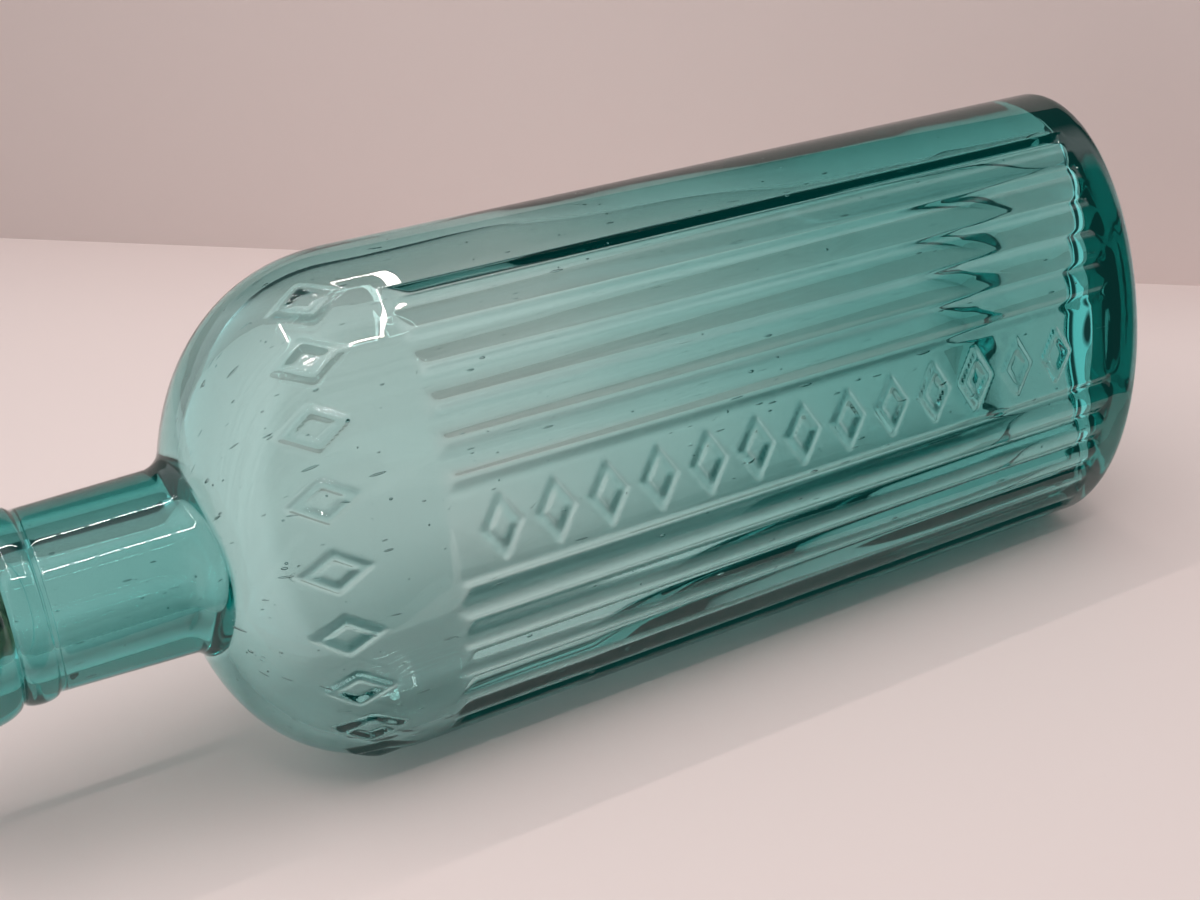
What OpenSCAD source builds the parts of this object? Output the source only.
// Oval glass poison bottle with a ribbed front, an applied ring-and-collar lip and a cork.
// It stands upright: +Z runs up the bottle, the ribbed front faces -Y, and the origin is
// the centre of the base. All sizes are in millimetres.

/* [Body] */
// Width of the oval body, side to side
body_w = 76; // [68:0.5:88]
// Depth of the oval body, front to back
body_d = 44.4; // [40:0.1:52]
// Height at which the straight wall turns into the shoulder
body_h = 130; // [110:0.5:160]
// Height of the domed shoulder, from the top of the straight wall
dome_h = 30.3; // [27:0.1:36]
// Fullness of the dome's curve, where 2 is a plain ellipse
dome_power = 2.24; // [2:0.02:2.6]
// Inward reach of the rounded heel between the wall and the base
heel_r = 2.6; // [1.5:0.1:4]
// Height of the rounded heel
heel_h = 3; // [2:0.1:5]
// Width of the flat ring that the bottle stands on
foot_w = 5; // [3:0.5:8]
// Height of the hollow under the base
kick_h = 1.4; // [0.6:0.1:3]

/* [Glass thickness] */
// Thickness of the body wall at its top and in the shoulder
wall = 2.8; // [2.6:0.1:3.4]
// Thickness of the body wall over the base
base_wall = 6.6; // [3.6:0.1:7.4]
// Height at which the wall starts to grow thicker on its way down
thick_from = 105; // [90:1:109]
// Height at which it has its full thickness
thick_to = 30; // [20:1:60]
// Height of the cavity's floor above the base plane, at the narrow sides
floor_h = 3.5; // [3.2:0.1:8]
// Rise of the trough-shaped floor towards the front and the back
floor_rise = 10; // [4:0.5:14]
// Height of the soft hump in the middle of the floor
hump_h = 3; // [0.5:0.1:5]
// Inward reach of the floor's rounded corner, at the narrow sides
corner_in = 3; // [1:0.1:5]
// Height of that corner
corner_up = 2; // [1:0.1:5]

/* [Ribs] */
// Ribs on each side of the front panel
ribs_per_side = 5; // [3:1:6]
// Distance between ribs, measured round the wall
rib_pitch = 5.4; // [4.6:0.1:5.8]
// Depth of the valleys between ribs
rib_depth = 1; // [0.6:0.1:1.4]
// Height at which the ribs and the panel start above the base
rib_start = 7; // [5.1:0.1:9]
// Distance from the ribs' top ends down from the start of the shoulder
rib_top_gap = 1.4; // [0.5:0.1:6]
// Width of the steep step up from the last valley to the plain glass
rib_step = 0.6; // [0.4:0.1:1.5]
// Length of the slope that ends each valley
rib_run_out = 1.6; // [0.8:0.1:3]

/* [Front panel] */
// Depth of the flat panel below the crown of the front
panel_depth = 0.5; // [0.4:0.05:0.8]
// Number of raised lozenges on the panel
panel_lozenges = 13; // [8:1:15]
// Height of each lozenge, across the panel
lozenge_w = 10.6; // [8:0.1:12]
// Length of each lozenge, along the bottle
lozenge_l = 6.6; // [5:0.1:7]
// Width of the raised line that draws a lozenge
lozenge_line = 1.5; // [1:0.1:1.8]
// Plain glass between the panel's lower end and the lozenge row
row_low_gap = 9; // [2:0.5:16]
// Plain glass between the lozenge row and the panel's upper end
row_top_gap = 5; // [2:0.5:12]

/* [Shoulder band] */
// Number of raised lozenges round the front of the shoulder
dome_lozenges = 9; // [5:2:9]
// Turn between neighbouring shoulder lozenges, in degrees round the axis
dome_step = 16; // [14:0.5:18]
// Position of the middle shoulder lozenge up the dome's curve, in degrees
dome_rise = 25; // [22:1:32]
// Fall of the row towards the sides, in degrees up the dome's curve at a quarter turn
dome_arch = 22; // [0:1:24]
// Upward step of the shoulder lozenges' faces above the dome
dome_relief = 1.6; // [1:0.1:2.2]

/* [Neck] */
// Radius of the neck where it leaves the shoulder
neck_r_low = 13; // [12.5:0.1:15]
// Radius of the neck just under the lip
neck_r_high = 12.5; // [12.2:0.1:14]
// Height of the lip's lower edge above the top of the dome
neck_rise = 18.7; // [14:0.1:30]
// Extra radius of the flared root of the neck
root_flare = 2.2; // [1:0.1:3]
// Height of the flared root of the neck
root_h = 9; // [7:0.5:11]
// Radius of the bore through the neck
bore_r = 7; // [6:0.05:8.5]

/* [Lip] */
// Overall height of the applied lip
lip_h = 16.1; // [14:0.1:20]
// Height of the lower ring
ring_h = 4.6; // [3.5:0.1:6]
// How far the lower ring stands out from the neck
ring_out = 0.8; // [0.4:0.1:2]
// Depth of the groove between the ring and the collar, below the neck's surface
groove_in = 0.3; // [0.1:0.1:0.6]
// How far the collar stands out from the neck
collar_out = 2.1; // [1.8:0.1:4]
// Thickness of the lip's own glass at the groove
lip_web = 1; // [0.6:0.1:1.2]
// Height of the straight middle of the collar
collar_band = 4; // [2:0.1:5]
// Rounding of the collar's upper edge
collar_top_r = 1.6; // [1:0.1:2]

/* [Cork] */
// Clearance between the cork and the bore at the mouth
cork_gap = 0.1; // [0.05:0.01:0.3]
// Depth that the cork goes into the neck
cork_in = 8.6; // [6:0.1:20]
// Height of the cork above the lip
cork_out = 8.4; // [6:0.1:14]
// Narrowing of the cork's radius from the mouth down to its lower end
cork_taper = 0.6; // [0.4:0.1:1.2]
// Bevel on the cork's two edges
cork_bevel = 0.5; // [0.3:0.1:0.8]

/* [Hidden] */
$fn = 96;
glass_colour = [0.42, 0.66, 0.63];
lip_colour = [0.30, 0.55, 0.53];
cork_colour = [0.70, 0.52, 0.34];
over = 1;
skin_sides = 72;
hollow_sides = 60;
dome_steps = 9;
arc_steps = 5;
flank_steps = 4;
hump_steps = 4;
trough_steps = 10;
trough_power = 4;
kick_flat = 1 / 3;
half_w = body_w / 2;
half_d = body_d / 2;
inner_w = half_w - wall;
inner_d = half_d - wall;
inner_dome_h = dome_h - wall;
low_w = half_w - base_wall;
low_d = half_d - base_wall;
dome_top = body_h + dome_h;
lip_z = dome_top + neck_rise;
mouth_z = lip_z + lip_h;
groove_r = neck_r_high - groove_in;
seat_r = groove_r - lip_web;
ring_r = neck_r_high + ring_out;
collar_r = neck_r_high + collar_out;
figure_root = wall / 4;
rib_end = body_h - rib_top_gap;
panel_half = half_w * sqrt(1 - pow(1 - panel_depth / half_d, 2));
rib_curve = (pow(rib_pitch / 2, 2) + pow(rib_depth, 2)) / (2 * rib_depth);
walk_step = 0.25;

// Speed along the oval per degree at the angle t, and the angle reached after an arc
function oval_speed(t) = PI / 180 * sqrt(pow(half_w * sin(t), 2) + pow(half_d * cos(t), 2));
function arc_angle(left, t) =
    left <= 0 ? t : arc_angle(left - oval_speed(t) * walk_step, t + walk_step);
first_valley = acos(panel_half / half_w);
function valley_angle(i) = 180 - arc_angle(i * rib_pitch, 180 - first_valley);

// Points of a superellipse quarter from the wall (r, 0) up to the axis (0, h)
function quarter(r, h) = [for (i = [0:dome_steps]) let (q = 90 * i / dome_steps)
    [r * pow(cos(q), 2 / dome_power), h * pow(sin(q), 2 / dome_power)]];
function arc(cx, cz, r, from, to) = [for (i = [0:arc_steps])
    let (q = from + (to - from) * i / arc_steps) [cx + r * cos(q), cz + r * sin(q)]];
// Points of an oval corner from the level (r - in, z) out and up to the wall (r, z + up)
function corner(r, z, in, up) = [for (i = [0:arc_steps]) let (q = 90 * i / arc_steps)
    [r - in + in * sin(q), z + up * (1 - cos(q))]];
function raised(points, z) = [for (p = points) [p[0], p[1] + z]];

// The oval skin of the bottle without its ribs: a convex turning squeezed front to back
module outer_form() {
    hull() scale([1, body_d / body_w, 1]) rotate_extrude($fn = skin_sides) polygon(concat(
        [[0, 0]], corner(half_w, 0, heel_r, heel_h),
        raised(quarter(half_w, dome_h), body_h)));
}

// The shallow oval hollow under the base
module kick() {
    edge = [half_w, half_d] - (heel_r + foot_w) * [1, 1];
    hull() {
        translate([0, 0, -over]) linear_extrude(over) scale(edge) circle(1, $fn = hollow_sides);
        linear_extrude(kick_h) scale(kick_flat * edge) circle(1, $fn = hollow_sides);
    }
}

// An oval turning of half width w and half depth d
module oval_turning(w, d, points) {
    scale([1, d / w, 1]) rotate_extrude($fn = hollow_sides) polygon(points);
}

// The hollow that holds the liquid, without the bore: straight from the shoulder down,
// then narrower as the wall grows thicker, over a trough-shaped floor with a soft hump
module cavity() {
    difference() {
        intersection() {
            hull() {
                oval_turning(inner_w, inner_d, concat([[0, thick_from], [inner_w, thick_from]],
                    raised(quarter(inner_w, inner_dome_h), body_h)));
                oval_turning(low_w, low_d, concat([[0, floor_h]],
                    corner(low_w, floor_h, corner_in, corner_up), [[low_w, thick_to], [0, thick_to]]));
            }
            trough();
        }
        hump();
    }
}

// All the space over the trough-shaped floor, which runs from side to side
module trough() {
    rotate([90, 0, 90]) linear_extrude(body_w, center = true) polygon(concat(
        [for (i = [-trough_steps:trough_steps]) let (y = half_d * i / trough_steps)
            [y, floor_h + floor_rise * pow(abs(y) / low_d, trough_power)]],
        [[half_d, mouth_z], [-half_d, mouth_z]]));
}

// The soft hump in the middle of the floor
module hump() {
    hull() oval_turning(low_w, low_d, concat([[0, floor_h - over], [low_w, floor_h - over]],
        [for (i = [hump_steps:-1:0]) let (k = i / hump_steps)
            [low_w * k, floor_h + hump_h * (1 - k * k)]]));
}

// The neck, its flared root and the narrower end that the lip sits round
module neck_form() {
    root_z = dome_top - root_h / 2;
    rotate_extrude() polygon(concat(
        [[0, body_h + inner_dome_h / 2], [neck_r_low + root_flare, body_h + inner_dome_h / 2]],
        [for (i = [0:arc_steps]) let (q = i / arc_steps)
            [neck_r_low + root_flare * pow(1 - q, 2), root_z + root_h * q]],
        [[neck_r_high, lip_z], [seat_r, lip_z], [seat_r, mouth_z], [0, mouth_z]]));
}

// A place on the oval wall at the angle t on the front, looking outward along +X
module on_wall(t) {
    translate([half_w * cos(t), -half_d * sin(t), 0])
        rotate([0, 0, atan2(-half_w * sin(t), half_d * cos(t))]) children();
}

// One valley between two ribs: two hollow flanks in plan, sloped at both ends. The last
// valley has a rib on one side only, and a steep step on its other side, towards +Y.
module valley(last) {
    flank = [for (i = [0:flank_steps]) let (u = rib_pitch / 2 * i / flank_steps)
        [rib_curve - sqrt(pow(rib_curve, 2) - pow(u, 2)), rib_pitch / 2 - u]];
    left = [for (p = flank) [-p[0], -p[1]]];
    right = last ? [[0, rib_step]] : [for (i = [flank_steps:-1:0]) [-flank[i][0], flank[i][1]]];
    far = last ? rib_step : rib_pitch / 2;
    depth = rib_depth + over;
    intersection() {
        translate([0, 0, rib_start]) linear_extrude(rib_end - rib_start)
            polygon(concat([[over, -rib_pitch / 2]], left, right, [[over, far]]));
        rotate([90, 0, 0]) linear_extrude(rib_pitch + over, center = true) polygon([
            [0, rib_start], [over, rib_start], [over, rib_end], [0, rib_end],
            [-depth, rib_end - rib_run_out], [-depth, rib_start + rib_run_out]]);
    }
}

// A raised outline of a lozenge, drawn flat: long way along X, short way along Y
module lozenge(long, short) {
    hole = 1 - 2 * lozenge_line * norm([long, short]) / (long * short);
    outline = [[long / 2, 0], [0, short / 2], [-long / 2, 0], [0, -short / 2]];
    difference() {
        polygon(outline);
        polygon(hole * outline);
    }
}

// The row of lozenges up the flat front panel, level with the crown of the front
module panel_row() {
    low = rib_start + row_low_gap + lozenge_l / 2;
    high = rib_end - row_top_gap - lozenge_l / 2;
    for (i = [0:panel_lozenges - 1])
        translate([0, -half_d, low + (high - low) * i / (panel_lozenges - 1)])
            rotate([-90, 0, 0]) linear_extrude(panel_depth + figure_root)
            lozenge(lozenge_w, lozenge_l);
}

// The arched row of lozenges round the front of the shoulder: posts square to the dome,
// trimmed by the same dome moved up, so that their height fades out towards the wall
module shoulder_row() intersection() {
    translate([0, 0, dome_relief]) outer_form();
    for (i = [0:dome_lozenges - 1]) {
        side = i - (dome_lozenges - 1) / 2;
        turn = 90 + side * dome_step;
        rise = dome_rise - dome_arch * pow(side * dome_step / 90, 2);
        inset = pow(cos(rise), 2 / dome_power);
        up = body_h + dome_h * pow(sin(rise), 2 / dome_power);
        steep = pow(tan(rise), 2 - 2 / dome_power) / dome_h;
        lean = atan(steep / norm([cos(turn) / half_w, sin(turn) / half_d]));
        translate([inset * half_w * cos(turn), -inset * half_d * sin(turn), up])
            rotate([0, 0, atan2(-half_w * sin(turn), half_d * cos(turn))])
            rotate([0, 90 - lean, 0]) translate([0, 0, -figure_root])
            linear_extrude(dome_relief + 2 * figure_root) lozenge(lozenge_w, lozenge_l);
    }
}

// The blown glass: base, ribbed body, shoulder and neck in one piece
module glass_bottle() color(glass_colour) difference() {
    union() {
        difference() {
            union() {
                outer_form();
                neck_form();
            }
            translate([-panel_half, -half_d - over, rib_start])
                cube([2 * panel_half, panel_depth + over, rib_end - rib_start]);
            for (i = [0:ribs_per_side]) {
                last = i == ribs_per_side;
                on_wall(valley_angle(i)) valley(last);
                on_wall(180 - valley_angle(i)) mirror([0, 1, 0]) valley(last);
            }
        }
        panel_row();
        shoulder_row();
    }
    kick();
    cavity();
    translate([0, 0, body_h]) cylinder(r = bore_r, h = mouth_z - body_h + over);
}

// The lip: one gather of glass laid round the neck's end and tooled to a ring and a collar
module applied_lip() color(lip_colour) {
    groove_z = lip_z + ring_h;
    band_z = mouth_z - collar_top_r - collar_band;
    ring_mid = lip_z + ring_h / 2;
    rotate_extrude() polygon(concat(
        [[seat_r, lip_z], [neck_r_high, lip_z]],
        [for (i = [1:arc_steps]) let (q = 180 * i / (arc_steps + 1))
            [neck_r_high + (ring_r - neck_r_high) * sin(q), ring_mid - ring_h / 2 * cos(q)]],
        [[groove_r, groove_z]],
        [for (i = [1:arc_steps]) let (q = 90 * i / arc_steps)
            [groove_r + (collar_r - groove_r) * sin(q), groove_z + (band_z - groove_z) * (1 - cos(q))]],
        arc(collar_r - collar_top_r, mouth_z - collar_top_r, collar_top_r, 0, 90),
        [[seat_r, mouth_z]]));
}

// The stopper: a tapered cork pushed part of the way into the neck
module cork_stopper() color(cork_colour) {
    mouth_r = bore_r - cork_gap;
    low_r = mouth_r - cork_taper;
    top_r = mouth_r + cork_taper * cork_out / cork_in;
    rotate_extrude() polygon([
        [0, mouth_z - cork_in], [low_r - cork_bevel, mouth_z - cork_in],
        [low_r, mouth_z - cork_in + cork_bevel],
        [mouth_r, mouth_z], [top_r, mouth_z + cork_out - cork_bevel],
        [top_r - cork_bevel, mouth_z + cork_out], [0, mouth_z + cork_out]]);
}

glass_bottle();
applied_lip();
cork_stopper();
